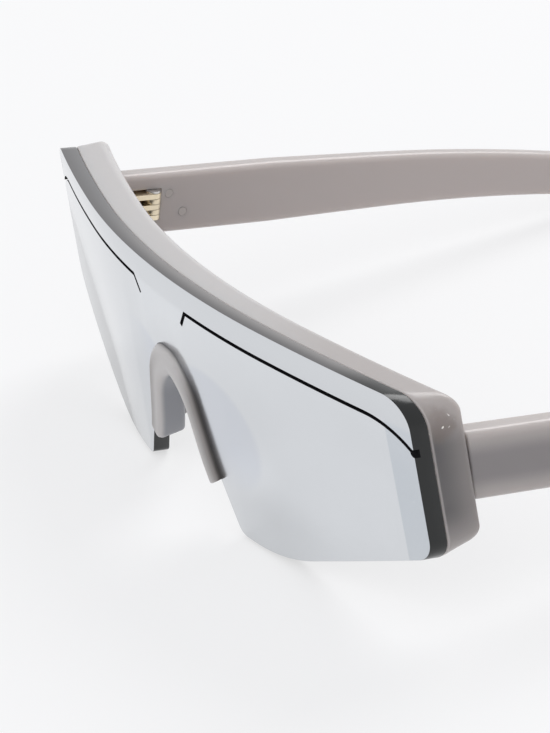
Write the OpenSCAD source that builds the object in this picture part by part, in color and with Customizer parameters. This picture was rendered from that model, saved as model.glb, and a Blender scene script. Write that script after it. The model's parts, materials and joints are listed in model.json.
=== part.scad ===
// Shield sunglasses with one curved mirror lens, a brow frame, a nose bridge and two folding temples.
// Shapes are drawn as worn: X to the wearer's left, Y back along the temples, Z up, origin at the
// lens front's top centre. stand() then sets the pair down on the lens's low edges and the temple tips.

/* [Lens] */
// Width of the lens at its top edge
lens_top_w = 136.2; // [128:0.2:146]
// Width of the lens at its lower side corners
lens_low_w = 139.2; // [130:0.2:148]
// Height of the lens at its lowest edge
lens_h = 46.9; // [42:0.1:54]
// Height of the lens at its sides
lens_side_h = 29.2; // [26:0.1:34]
// Thickness of the lens
lens_thick = 3.3; // [2.5:0.1:4.5]
// Lean of the lens from square to the temples, in degrees
lens_tilt = 14.65; // [8:0.05:20]
// Distance of the bend in the low edge from the middle
low_bend_x = 31; // [28:0.5:40]
// Radius of the upper side corners
top_corner_r = 5.5; // [2:0.1:8]
// Radius of the lower side corners
low_corner_r = 2.4; // [1:0.1:5]
// Radius of the bend in the low edge
low_bend_r = 40; // [20:1:45]

/* [Wrap around the face] */
// Radius of the lens curve in the middle
wrap_r = 160; // [130:1:220]
// Radius of the lens curve towards the ends
wrap_end_r = 387; // [260:1:900]
// Distance from the middle at which the curve turns flatter
wrap_x = 34; // [24:0.5:44]

/* [Nose cut-out] */
// Width of the cut-out at the low edge
cut_foot_w = 36.6; // [34:0.1:42]
// Width of the cut-out at its lower knee
cut_knee_w = 25.8; // [24:0.1:30]
// Depth of the lower knee below the top of the lens
cut_knee_z = 36; // [33:0.1:38]
// Width of the cut-out at its neck
cut_neck_w = 16.6; // [15.6:0.1:20]
// Depth of the neck below the top of the lens
cut_neck_z = 21; // [20:0.1:24]
// Width of the flat crown of the cut-out
cut_crown_w = 6; // [5:0.1:9]
// Depth of the crown below the top of the lens
cut_crown_z = 16.1; // [14.5:0.1:17]
// Radius of the cut-out's feet
cut_foot_r = 1.2; // [0.4:0.1:3]
// Radius of the crown's shoulders
cut_crown_r = 5.4; // [3:0.1:5.6]

/* [Groove on the lens] */
// Depth of the groove line below the top of the lens
groove_z = 5.4; // [4.6:0.1:7]
// Width of the groove
groove_w = 0.55; // [0.4:0.05:1]
// How deep the groove is cut
groove_deep = 1.1; // [0.4:0.1:1.8]
// Width of the centre panel between the groove's inner corners
panel_top_w = 20.4; // [16:0.2:30]
// Width of the centre panel at the foot of its strokes
panel_low_w = 16.4; // [12:0.2:24]
// Depth of the strokes' feet below the top of the lens
panel_z = 8.4; // [7.6:0.1:12]
// Distance in from the side at which the groove turns down
groove_turn_in = 4.3; // [3:0.1:8]
// Radius of that turn
groove_turn_r = 16; // [8:0.5:18]
// Depth at which the groove leaves through the side
groove_exit_z = 9.2; // [8.4:0.1:12]

/* [Frame] */
// Depth of the front, from the lens front to the frame's back
front_depth = 10.1; // [9.5:0.1:12]
// Height of the brow bar
brow_h = 9; // [8.5:0.1:12]
// Radius of the brow's upper back edge
brow_round = 2; // [1:0.1:3]
// Radius of the upper side corners at the frame's back
back_corner_r = 2; // [1:0.1:5]
// Width of the end pieces at the brow
end_top_w = 10.1; // [9.5:0.1:12]
// Width of the end pieces at their feet
end_low_w = 8.2; // [6:0.1:10]
// Radius of the inner corner between brow and end piece
end_inner_r = 9; // [4:0.5:12]
// How far the end piece's foot rises towards its back
foot_rise = 2.8; // [1:0.1:5]
// Radius of the end piece's lower back corner
foot_r = 2.2; // [1:0.1:4]
// Bond line between the lens and what it touches
bond_gap = 0.05; // [0.02:0.01:0.1]

/* [Nose bridge] */
// Thickness of the saddle band that lines the cut-out
saddle_t = 2.6; // [1.8:0.1:3]
// How far the saddle stands out in front of the lens
saddle_front = 0.9; // [0.5:0.1:2]
// How far the saddle's flange reaches over the back of the lens
flange_w = 2.2; // [1:0.1:3.5]
// Thickness of that flange
flange_t = 1.4; // [0.8:0.1:2.5]
// Depth of the saddle's feet below the top of the lens
saddle_z = 38.2; // [36:0.1:42]
// Thickness of the nose pads
pad_t = 2.4; // [1.6:0.1:3.5]
// How far the pads reach back behind the lens
pad_reach = 8.5; // [6:0.1:11]
// Height of the nose pads
pad_h = 15; // [12:0.1:16]

/* [Temples] */
// Height of the temple at its root
temple_h = 13.2; // [11:0.1:15]
// Length from the hinge pin over which the temple keeps that height
root_len = 28; // [20:0.5:40]
// Height of the temple at the ear
temple_ear_h = 9.4; // [8.6:0.1:11]
// Radius of the rounded tip
tip_r = 4.2; // [3:0.1:5]
// Thickness of the temple at its root
temple_t = 4.6; // [4:0.1:6]
// Thickness of the temple at its tip
tip_t = 3.4; // [2.4:0.1:4]
// Radius of the temple's long edges
temple_edge_r = 1.3; // [0.5:0.1:1.6]
// Depth of the temple's middle below the top of the lens
temple_z = 13.7; // [13:0.1:15]
// Inset of the temple's outer face from the side of the frame
temple_inset = 0.9; // [0.3:0.1:2]
// Length from the hinge pin to the centre of the rounded tip
temple_len = 111.5; // [90:0.5:114]
// Length from the hinge pin to where the ear bend starts
bend_at = 56; // [50:0.5:66]
// Length of the slow part of the ear bend
slow_len = 42; // [34:0.5:42]
// Radius of the slow part of the ear bend
slow_r = 500; // [300:5:900]
// Radius of the bend towards the tip
fast_r = 30; // [24:1:60]
// How far the tip curves in towards the head
tip_in = 2.5; // [0:0.1:4]

/* [Hinges] */
// Distance of the hinge pin in from the temple's outer face
pin_inset = 4.6; // [4.4:0.1:5.2]
// Distance from the frame's back to the hinge pin
pin_back = 6.8; // [5:0.1:8]
// Diameter of the barrels
barrel_d = 3.4; // [2.8:0.1:3.8]
// Height of the stack of barrels
barrel_h = 5.6; // [4.5:0.1:8]
// Number of knuckles in the stack
knuckles = 5; // [3:2:7]
// Gap between knuckles
knuckle_gap = 0.08; // [0.05:0.01:0.15]
// Diameter of the hinge screw
pin_d = 1.4; // [1:0.1:1.8]
// Running clearance of the hinge screw, on its radius
pin_gap = 0.04; // [0.02:0.01:0.08]
// Clearance round the leaves and barrels that are let in
seat_gap = 0.1; // [0.05:0.01:0.12]
// Gap between the end piece and the temple
butt_gap = 0.45; // [0.4:0.05:0.7]
// Height of the leaves
leaf_h = 6.4; // [6:0.1:8]
// Thickness of the leaf let into the end piece
front_leaf_t = 1.6; // [1.2:0.1:2.4]
// Width of the leaf let into the end piece
front_leaf_w = 5.7; // [5.6:0.1:6.2]
// Thickness of the leaf let into the temple
temple_leaf_t = 1; // [0.8:0.1:1.4]
// Length of the leaf let into the temple
temple_leaf_len = 7; // [6.4:0.1:10]
// Depth of that leaf below the temple's inner face
leaf_cover = 0.8; // [0.7:0.05:1.2]

/* [Small fasteners] */
// Diameter of the screws and rivets
fix_d = 1; // [0.8:0.1:1.2]
// Diameter of their heads
head_d = 1.8; // [1.5:0.1:1.9]
// Thickness of their heads
head_t = 0.5; // [0.3:0.1:0.6]
// Depth of the lens screws' heads below the frame's back
head_sink = 1.8; // [1:0.1:2.2]
// How far the lens screws reach into the lens
lens_bite = 1.6; // [1:0.1:2]
// What is left in front of the leaf screws' tips
tip_wall = 1.2; // [0.8:0.1:1.8]
// Clearance round fixed fasteners, on their radius
fix_gap = 0.02; // [0.01:0.01:0.05]

/* [Temple core] */
// Length of the core wire
core_len = 58; // [40:0.5:60]
// Height of the core wire
core_h = 2.4; // [1.5:0.1:2.6]
// Thickness of the core wire
core_t = 1; // [0.6:0.1:1.4]

/* [Hidden] */
overrun = 5;
far_off = 200;
arc_n = 10;
ring_fn = 720;
round_fn = 48;
half_turn = 180;
tau_c = cos(lens_tilt);
tau_s = sin(lens_tilt);
wrap_a = asin(wrap_x / wrap_r);
temple_outer = side_x(temple_z) - temple_inset;
temple_mid = temple_outer - temple_t / 2;
temple_inner = temple_outer - temple_t;
pin_x = temple_outer - pin_inset;
pin_y = back_y(pin_x, temple_z) + pin_back;
screw_len = front_depth - lens_thick - head_sink - head_t;
leaf_screw_len = front_depth - lens_thick - front_leaf_t - tip_wall;
slow_a = asin(slow_len / slow_r);
slow_end_z = -temple_z - slow_r * (1 - cos(slow_a));
barrel_r = barrel_d / 2;
relief_r = barrel_r + 2 * seat_gap;
knuckle_h = (barrel_h - (knuckles - 1) * knuckle_gap) / knuckles;
leaf_x1 = pin_x + barrel_r;
leaf_x0 = leaf_x1 - front_leaf_w;
leaf_seat_y = back_y(leaf_x0, temple_z) - front_leaf_t;
plate_y = pin_y + relief_r + seat_gap;
leaf_screw_x = leaf_x0 + head_d / 2 + 2 * seat_gap;
leaf_screw_z = leaf_h / 2 - head_d / 2 - 2 * seat_gap;
rivet_spots = [[plate_y + head_d, leaf_screw_z], [plate_y + temple_leaf_len - head_d, -leaf_screw_z]];
rivet_len = temple_t - 2 * head_t;
leaf_x = temple_inner + leaf_cover;
core_x = leaf_x + temple_leaf_t;
core_y = plate_y + temple_leaf_len / 2;

// The wrap curve seen from above, as worn: how far the lens front lies back at x.
function wrap_y(x) = abs(x) <= wrap_x
    ? wrap_r - sqrt(wrap_r * wrap_r - x * x)
    : let (cx = wrap_x - wrap_end_r * sin(wrap_a),
           cy = wrap_r - wrap_r * cos(wrap_a) + wrap_end_r * cos(wrap_a))
      cy - sqrt(pow(wrap_end_r, 2) - pow(abs(x) - cx, 2));
function wrap_slope(x) = abs(x) <= wrap_x
    ? asin(abs(x) / wrap_r)
    : asin((abs(x) - wrap_x) / wrap_end_r + sin(wrap_a));
function side_x(z) = (lens_top_w + (lens_low_w - lens_top_w) * z / lens_side_h) / 2;
// A surface t behind the lens front, at x and z below the top.
function depth_y(x, z, t) = wrap_y(x) + (t / cos(wrap_slope(x)) + z * tau_s) / tau_c;
function back_y(x, z) = depth_y(x, z, front_depth);

// Outline points: each corner is [x, z, radius].
function unit(v) = v / norm(v);
function turn(d) = d > half_turn ? d - 2 * half_turn : d < -half_turn ? d + 2 * half_turn : d;
function corner(a, b, c, r) = r == 0 ? [b] :
    let (u = unit(a - b), w = unit(c - b), half = acos(u * w) / 2,
         m = b + unit(u + w) * r / sin(half), p = b + u * r / tan(half), q = b + w * r / tan(half),
         s = atan2(p.y - m.y, p.x - m.x), e = turn(atan2(q.y - m.y, q.x - m.x) - s))
    [for (i = [0 : arc_n]) m + r * [cos(s + e * i / arc_n), sin(s + e * i / arc_n)]];
function flat(v) = [for (p = v) for (q = p) q];
function xy(p) = [p.x, p.y];
function rounded(v) = let (n = len(v))
    flat([for (i = [0 : n - 1]) corner(xy(v[(i + n - 1) % n]), xy(v[i]), xy(v[(i + 1) % n]), v[i].z)]);
function mirrored(v) = concat(v, [for (i = [len(v) - 1 : -1 : 0]) [-v[i].x, v[i].y, v[i].z]]);

cut_half = [
    [cut_foot_w / 2, -lens_h, cut_foot_r],
    [cut_knee_w / 2, -cut_knee_z, 2 * cut_neck_w],
    [cut_neck_w / 2, -cut_neck_z, cut_neck_w / 2],
    [cut_crown_w / 2, -cut_crown_z, cut_crown_r]];
lens_half = concat([
    [lens_top_w / 2, 0, top_corner_r],
    [lens_low_w / 2, -lens_side_h, low_corner_r],
    [low_bend_x, -lens_h, low_bend_r]], cut_half);
open_half = [
    [lens_top_w / 2 - end_top_w, -brow_h, end_inner_r],
    [lens_low_w / 2 - end_low_w, -lens_side_h, 0],
    [lens_low_w / 2 - end_low_w, -lens_h - overrun, 0]];

// Curved slab seen from above, from depth a to depth b behind the lens front; share is the
// cosine by which a leaning cut draws the curve flat.
module wrap_plan(share, a, b) {
    r = wrap_r / share;
    e = wrap_end_r / share;
    w = asin(wrap_x / r);
    reach = far_off + r;
    module ring(q) difference() { circle(q - a, $fn = ring_fn); circle(q - b, $fn = ring_fn); }
    intersection() {
        translate([0, r]) ring(r);
        translate([0, r]) polygon([[0, 0], [-reach * sin(w), -reach * cos(w)], [reach * sin(w), -reach * cos(w)]]);
    }
    v = asin((lens_low_w / 2 - wrap_x + overrun) / e + sin(w));
    far = far_off + e;
    for (s = [0, 1]) mirror([s, 0])
        translate([wrap_x - e * sin(w), r - r * cos(w) + e * cos(w)])
            intersection() {
                ring(e);
                polygon([[0, 0], [far * sin(w), -far * cos(w)], [far * sin(v), -far * cos(v)]]);
            }
}
module wrap_slab(a, b) rotate([lens_tilt, 0, 0]) translate([0, 0, -lens_h - 3 * overrun])
    linear_extrude(lens_h + 6 * overrun) wrap_plan(tau_c, a, b);
// What lies between y = -overrun and the back of the part, inside an outline drawn from the front.
module from_front(points) translate([0, far_off, 0]) rotate([90, 0, 0])
    linear_extrude(2 * far_off) polygon([for (p = points) xy(p)]);
module box(a, b) translate(a) cube(b - a);
module drill(p, r, h) translate(p) cylinder(r = r, h = h, $fn = round_fn);
module back_drill(p, r, h) translate(p) rotate([-90, 0, 0]) cylinder(r = r, h = h, $fn = round_fn);
module side_drill(p, r, h) translate(p) rotate([0, 90, 0]) cylinder(r = r, h = h, $fn = round_fn);
module both() { children(); mirror([1, 0, 0]) children(); }
module right() mirror([1, 0, 0]) children();

// The pair stands on the lens's low back edge, where it starts to bend up, and on the round temple tips.
low_bend_a = atan2(lens_h - lens_side_h, lens_low_w / 2 - low_bend_x);
foot_y = depth_y(low_bend_x - low_bend_r * tan(low_bend_a / 2), lens_h, lens_thick);
tip = temple_at(temple_len);
rest_len = norm([tip.y - foot_y, tip.z + lens_h]);
rest_a = atan2(tip.z + lens_h, tip.y - foot_y) - asin(tip_r / rest_len);
saddle_z0 = cut_crown_z + bond_gap;
front_end = min(0, depth_y(0, saddle_z0, -saddle_front) * cos(rest_a) - saddle_z0 * sin(rest_a));
back_end = tip.y * cos(rest_a) + tip.z * sin(rest_a) + tip_r;
stand_y = -(front_end + back_end) / 2;
stand_z = foot_y * sin(rest_a) + lens_h * cos(rest_a);
module stand() translate([0, stand_y, stand_z]) rotate([-rest_a, 0, 0]) children();

// Lens
groove_turn = [side_x(groove_z) - groove_turn_in, -groove_z];
groove_exit = [side_x(groove_exit_z), -groove_exit_z];
groove_end = groove_exit + unit(groove_exit - groove_turn) * overrun;
groove_path = concat([[panel_low_w / 2, -panel_z], [panel_top_w / 2, -groove_z]],
    corner([panel_top_w / 2, -groove_z], groove_turn, groove_end, groove_turn_r), [groove_end]);
function side_of(p, i, k) = let (n = len(p), a = p[max(i - 1, 0)], b = p[min(i + 1, n - 1)],
        u = i == 0 ? unit(p[1] - p[0]) : unit(p[i] - a), w = i == n - 1 ? u : unit(b - p[i]),
        m = unit([-u.y - w.y, u.x + w.x]), c = m * [-u.y, u.x])
    p[i] + m * k / c;
function ribbon(p, w) = let (n = len(p))
    concat([for (i = [0 : n - 1]) side_of(p, i, w / 2)], [for (i = [n - 1 : -1 : 0]) side_of(p, i, -w / 2)]);
module shield_lens() color([0.82, 0.84, 0.86]) stand() difference() {
    intersection() { wrap_slab(0, lens_thick); from_front(rounded(mirrored(lens_half))); }
    both() intersection() {
        wrap_slab(-groove_deep, groove_deep);
        from_front([for (p = ribbon(groove_path, groove_w)) [p.x, p.y, 0]]);
    }
    both() lens_screw_holes(fix_d / 2 + fix_gap);
}

// Screws that hold the lens, driven from behind through the brow and the end pieces.
screw_spots = [[low_bend_x, brow_h - head_d],
    [(lens_low_w - end_low_w) / 2, lens_side_h - foot_rise - foot_r - head_d]];
module lens_screw_holes(r) for (p = screw_spots)
    back_drill([p.x, depth_y(p.x, p.y, lens_thick) - lens_bite, -p.y], r, screw_len + lens_bite);
function lens_head_y(p) = depth_y(p.x, p.y, lens_thick) + screw_len;
module lens_screws() color([0.7, 0.7, 0.72]) stand() both() for (p = screw_spots) {
    back_drill([p.x, depth_y(p.x, p.y, lens_thick) - lens_bite + fix_gap, -p.y], fix_d / 2,
        screw_len + lens_bite - fix_gap + head_t / 2);
    back_drill([p.x, lens_head_y(p), -p.y], head_d / 2, head_t);
}

// Brow bar and end pieces
module frame_blank() difference() {
    intersection() {
        wrap_slab(lens_thick + bond_gap, front_depth);
        from_front(rounded(mirrored([[lens_top_w / 2, 0, back_corner_r], lens_half[1], [low_bend_x, -lens_h, 0]])));
    }
    from_front(rounded(mirrored(open_half)));
}
module frame_shape() difference() { frame_blank(); for (a = brow_facets) brow_round_cut(a); }
module front_frame() color([0.62, 0.6, 0.58]) stand() difference() {
    frame_shape();
    both() {
        corner_cut();
        foot_cut();
        leaf_pocket();
        lens_screw_holes(fix_d / 2 + fix_gap);
        for (p = screw_spots) back_drill([p.x, lens_head_y(p), -p.y], head_d / 2 + fix_gap, far_off / 4);
        for (s = [-1, 1]) back_drill([leaf_screw_x, leaf_seat_y - leaf_screw_len, -temple_z + s * leaf_screw_z],
            fix_d / 2 + fix_gap, leaf_screw_len + overrun);
    }
}
// The brow's upper back edge is a round made of narrow facets, each at its own slope.
brow_facets = [30 : 20 : 70];
module brow_round_cut(a) translate([0, (front_depth - brow_round + brow_round * tau_s) / tau_c, -brow_round])
    rotate([a, 0, 0]) translate([0, 0, -far_off / 2])
        linear_extrude(far_off) wrap_plan(cos(a), brow_round, brow_round + front_depth);
// The upper corners grow sharper towards the back: a leaning cylinder leads from one radius to the other.
module corner_cut() {
    a = [-lens_top_w / 2, 0];
    b = [lens_top_w / 2, 0];
    c = [lens_low_w / 2, -lens_side_h];
    out = -unit(unit(a - b) + unit(c - b));
    reach = 1 / sin(acos(unit(a - b) * unit(c - b)) / 2);
    m = b - out * top_corner_r * reach;
    q = m + out * (top_corner_r - back_corner_r) * (reach - 1);
    p0 = [m.x, depth_y(b.x, 0, lens_thick), m.y];
    p1 = [q.x, back_y(b.x, 0), q.y];
    d = p1 - p0;
    difference() {
        box([m.x, p0.y - overrun, m.y], [b.x + overrun, p1.y + overrun, overrun]);
        translate(p0 - d) rotate([0, acos(unit(d).z), atan2(d.y, d.x)])
            cylinder(r = top_corner_r, h = 4 * norm(d), $fn = ring_fn);
    }
}
// The end piece's foot rises towards the back and ends in a round corner.
module foot_cut() {
    a = wrap_slope(lens_low_w / 2);
    function at(t, z) = [(t + z * tau_s * cos(a)) / tau_c, -z];
    p = at(lens_thick, lens_side_h);
    q = at(front_depth + seat_gap, lens_side_h - foot_rise);
    arc = corner(p, q, at(front_depth + seat_gap, brow_h), foot_r);
    translate([lens_low_w / 2, wrap_y(lens_low_w / 2), 0]) rotate([0, 0, a]) translate([-3 * end_low_w, 0, 0])
        rotate([90, 0, 90]) linear_extrude(4 * end_low_w)
            polygon(concat([2 * p - q], arc, [arc[arc_n] + [overrun, 0], q + [overrun, -lens_h], 2 * p - q - [0, lens_h]]));
}
module leaf_pocket() box([leaf_x0 - seat_gap, leaf_seat_y, -temple_z - leaf_h / 2 - seat_gap],
    [leaf_x1 + seat_gap, pin_y + overrun, -temple_z + leaf_h / 2 + seat_gap]);

// Saddle with its pads, sprung into the cut-out of the lens
saddle_out = rounded(mirrored(cut_half));
function inside(d) = rounded(mirrored([
    [cut_foot_w / 2 - d, -lens_h, 0], [cut_knee_w / 2 - d, -cut_knee_z, 2 * cut_neck_w + d],
    [cut_neck_w / 2 - d, -cut_neck_z, cut_neck_w / 2 - d],
    [cut_crown_w / 2 - d / 2, -cut_crown_z - d, max(cut_crown_r - d, saddle_t / 2)]]));
module above(z) translate([-far_off, -far_off, -z]) cube([2 * far_off, 2 * far_off, far_off]);
module saddle_band(d0, d1, a, b) intersection() {
    wrap_slab(a, b);
    difference() { from_front(inside(d0)); from_front(inside(d1)); }
    above(saddle_z);
}
// Each pad is a thin half oval that stands off the saddle's leg, back and outwards.
module pad() {
    r = pad_t / 2;
    y0 = lens_thick + flange_t / 2 + r;
    half = pad_h / 2 - r;
    hull() for (a = [0 : 30 : half_turn]) {
        z = saddle_z - pad_h / 2 - half * cos(a);
        x = cut_neck_w / 2 + (cut_knee_w - cut_neck_w) / 2 * (z - cut_neck_z) / (cut_knee_z - cut_neck_z) + r;
        translate([x + pad_reach / 2 * sin(a), depth_y(x, z, y0 + (pad_reach - y0 + lens_thick) * sin(a)), -z])
            sphere(r, $fn = 20);
    }
}
module nose_bridge() color([0.72, 0.7, 0.68]) stand() {
    saddle_band(bond_gap, saddle_t, -saddle_front, lens_thick + flange_t);
    saddle_band(-flange_w, saddle_t, lens_thick + bond_gap, lens_thick + flange_t);
    both() pad();
}

// Hinges
function knuckle_z(i) = -temple_z - barrel_h / 2 + i * (knuckle_h + knuckle_gap);
module pin_bore() drill([pin_x, pin_y, -temple_z - leaf_h], pin_d / 2 + pin_gap, 2 * leaf_h);
module front_leaf() difference() {
    union() {
        box([leaf_x0, leaf_seat_y, -temple_z - leaf_h / 2], [leaf_x1, leaf_seat_y + front_leaf_t, -temple_z + leaf_h / 2]);
        for (i = [0 : 2 : knuckles - 1]) {
            drill([pin_x, pin_y, knuckle_z(i)], barrel_r, knuckle_h);
            box([pin_x - barrel_r, leaf_seat_y + front_leaf_t / 2, knuckle_z(i)], [pin_x + barrel_r, pin_y, knuckle_z(i) + knuckle_h]);
        }
    }
    pin_bore();
    for (s = [-1, 1]) {
        back_drill([leaf_screw_x, leaf_seat_y - overrun, -temple_z + s * leaf_screw_z], fix_d / 2 + fix_gap, 2 * overrun);
        back_drill([leaf_screw_x, leaf_seat_y + front_leaf_t - head_t, -temple_z + s * leaf_screw_z], head_d / 2 + fix_gap, overrun);
    }
}
module front_leaf_left() color([0.8, 0.68, 0.42]) stand() front_leaf();
module front_leaf_right() color([0.8, 0.68, 0.42]) stand() right() front_leaf();
module front_leaf_screws() color([0.75, 0.74, 0.72]) stand() both() for (s = [-1, 1]) {
    y = leaf_seat_y + front_leaf_t - head_t;
    back_drill([leaf_screw_x, leaf_seat_y - leaf_screw_len + fix_gap, -temple_z + s * leaf_screw_z], fix_d / 2,
        y - leaf_seat_y + leaf_screw_len - fix_gap + head_t / 2);
    back_drill([leaf_screw_x, y, -temple_z + s * leaf_screw_z], head_d / 2, head_t);
}
module hinge_screws() color([0.75, 0.74, 0.72]) stand() both() {
    drill([pin_x, pin_y, -temple_z - barrel_h / 2], pin_d / 2, barrel_h + head_t / 2);
    drill([pin_x, pin_y, -temple_z + barrel_h / 2], barrel_r - seat_gap, head_t);
}
module temple_leaf() difference() {
    union() {
        box([leaf_x, plate_y - seat_gap, -temple_z - leaf_h / 2],
            [core_x, plate_y + temple_leaf_len, -temple_z + leaf_h / 2]);
        for (i = [1 : 2 : knuckles - 1]) {
            drill([pin_x, pin_y, knuckle_z(i)], barrel_r, knuckle_h);
            box([pin_x, pin_y, knuckle_z(i)], [core_x, plate_y - seat_gap / 2, knuckle_z(i) + knuckle_h]);
        }
    }
    pin_bore();
    for (p = rivet_spots) side_drill([temple_inner - overrun, p.x, -temple_z + p.y], fix_d / 2 + fix_gap, 2 * overrun);
}
module temple_leaf_left() color([0.8, 0.68, 0.42]) stand() temple_leaf();
module temple_leaf_right() color([0.8, 0.68, 0.42]) stand() right() temple_leaf();
module temple_rivets() for (p = rivet_spots) {
    side_drill([temple_inner + head_t / 2, p.x, -temple_z + p.y], fix_d / 2, rivet_len - head_t / 2 - fix_gap);
    side_drill([temple_inner, p.x, -temple_z + p.y], head_d / 2, head_t);
}
module temple_rivets_left() color([0.75, 0.74, 0.72]) stand() temple_rivets();
module temple_rivets_right() color([0.75, 0.74, 0.72]) stand() right() temple_rivets();

// Temples: a rounded section carried along a centre line that bends down behind the ear.
function temple_turn(s) = s < bend_at ? 0 : s < bend_at + slow_len ? asin((s - bend_at) / slow_r)
    : slow_a + (s - bend_at - slow_len) / fast_r * 180 / PI;
function temple_at(s) = s < bend_at ? [0, pin_y + s, -temple_z]
    : s < bend_at + slow_len ? [0, pin_y + s, -temple_z - slow_r * (1 - cos(temple_turn(s)))]
    : let (a = temple_turn(s))
      [0, pin_y + bend_at + slow_len + fast_r * (sin(a) - sin(slow_a)), slow_end_z - fast_r * (cos(slow_a) - cos(a))];
function along(s, a, b) = a + (b - a) * min(max(s / temple_len, 0), 1);
function temple_half_h(s) = let (e = bend_at + slow_len)
    s < root_len ? temple_h / 2
    : s < e ? (temple_h + (temple_ear_h - temple_h) * (s - root_len) / (e - root_len)) / 2
    : let (k = min((s - e) / (temple_len - e), 1)) temple_ear_h / 2 + (tip_r - temple_ear_h / 2) * k;
function temple_in(s) = tip_in * pow(max(s - bend_at / 2, 0) / (temple_len - bend_at / 2), 2);
// One section: s along the centre line, e past the tip's centre, drawn in by the round of the tip.
function section(s, e) =
    let (p = temple_at(s), a = temple_turn(s), k = sqrt(max(1 - pow(e / tip_r, 2), 0)),
         h = temple_half_h(s) * k, t = along(s, temple_t, tip_t) / 2 * (e > 0 ? (1 + k) / 2 : 1),
         r = min(temple_edge_r, h * 0.9, t * 0.9), o = [temple_mid - temple_in(s), p.y, p.z])
    [for (c = [[1, 1], [-1, 1], [-1, -1], [1, -1]], i = [0 : 4])
        let (q = (c.x > 0 ? (c.y > 0 ? 0 : 270) : (c.y > 0 ? 90 : 180)) + 22.5 * i,
             u = c.x * (t - r) + r * cos(q), v = c.y * (h - r) + r * sin(q))
        o + [u, v * sin(a) + e * cos(a), v * cos(a) - e * sin(a)]];
stations = concat([for (s = [-4 * overrun, root_len]) [s, 0]],
    [for (i = [1 : 4]) [root_len + (bend_at - root_len) * i / 4, 0]],
    [for (i = [1 : 5]) [bend_at + slow_len * i / 5, 0]],
    [for (i = [1 : 6]) [bend_at + slow_len + (temple_len - bend_at - slow_len) * i / 6, 0]],
    [for (a = [15 : 15 : 75]) [temple_len, tip_r * sin(a)]], [[temple_len, tip_r * sin(85)]]);
module skin(rows) {
    n = len(rows[0]);
    m = len(rows);
    polyhedron(flat(rows), concat(
        [[for (i = [n - 1 : -1 : 0]) i]],
        [for (j = [0 : m - 2], i = [0 : n - 1]) each [
            [j * n + i, (j + 1) * n + (i + 1) % n, (j + 1) * n + i],
            [j * n + i, j * n + (i + 1) % n, (j + 1) * n + (i + 1) % n]]],
        [[for (i = [0 : n - 1]) (m - 1) * n + i]]), convexity = 6);
}
module temple() difference() {
    skin([for (q = stations) section(q[0], q[1])]);
    wrap_slab(-far_off / 4, front_depth + butt_gap);
    // Room for the barrels and the leaf
    drill([pin_x, pin_y, -temple_z - barrel_h / 2 - head_t - seat_gap], relief_r, barrel_h + 2 * head_t + 2 * seat_gap);
    box([pin_x - overrun, pin_y - 2 * overrun, -temple_z - barrel_h / 2 - head_t - seat_gap],
        [pin_x + relief_r, pin_y, -temple_z + barrel_h / 2 + head_t + seat_gap]);
    box([pin_x - overrun, pin_y, -temple_z - barrel_h / 2 - head_t - seat_gap],
        [core_x, plate_y, -temple_z + barrel_h / 2 + head_t + seat_gap]);
    // The leaf slides into a slot, and two rivets cross it
    box([leaf_x, plate_y - seat_gap, -temple_z - leaf_h / 2], [core_x, plate_y + temple_leaf_len, -temple_z + leaf_h / 2]);
    for (p = rivet_spots) {
        side_drill([temple_inner, p.x, -temple_z + p.y], fix_d / 2 + fix_gap, rivet_len);
        side_drill([temple_inner - overrun, p.x, -temple_z + p.y], head_d / 2 + fix_gap, overrun + head_t);
    }
    core();
}
// The core wire starts on the back of the leaf and runs on inside the temple.
module core() box([core_x, core_y, -temple_z - core_h / 2], [core_x + core_t, core_y + core_len, -temple_z + core_h / 2]);
module temple_left() color([0.6, 0.58, 0.56]) stand() temple();
module temple_right() color([0.6, 0.58, 0.56]) stand() right() temple();
module core_wire_left() color([0.7, 0.7, 0.7]) stand() core();
module core_wire_right() color([0.7, 0.7, 0.7]) stand() right() core();

shield_lens();
front_frame();
nose_bridge();
lens_screws();
front_leaf_left();
front_leaf_right();
front_leaf_screws();
hinge_screws();
temple_leaf_left();
temple_leaf_right();
temple_rivets_left();
temple_rivets_right();
temple_left();
temple_right();
core_wire_left();
core_wire_right();
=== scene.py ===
"""Shield sunglasses: a mirrored one-piece lens, a milky brow frame, a saddle and two folding temples.

Shapes are worked out as worn, with X to the wearer's left, Y back along the temples, Z up and the
origin at the lens front's top centre, and are then turned to stand on a table as the pair does.
"""
import json
import math

import bmesh
import bpy
from bpy.props import FloatProperty, FloatVectorProperty, PointerProperty
from mathutils import Matrix, Vector
from mathutils.kdtree import KDTree


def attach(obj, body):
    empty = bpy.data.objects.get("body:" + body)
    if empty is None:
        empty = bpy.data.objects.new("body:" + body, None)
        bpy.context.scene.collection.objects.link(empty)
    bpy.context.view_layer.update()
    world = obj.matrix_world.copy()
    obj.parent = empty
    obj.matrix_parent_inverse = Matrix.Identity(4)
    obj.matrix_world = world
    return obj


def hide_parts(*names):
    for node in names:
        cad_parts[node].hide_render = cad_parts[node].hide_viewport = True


bl_info = {
    "name": "Shield Sunglasses",
    "version": (1, 0, 0),
    "blender": (4, 5, 0),
    "location": "3D Viewport > Sidebar > Sunglasses",
    "description": "Builds the pieces of a pair of shield sunglasses and their stage",
    "category": "Object",
}

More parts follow.
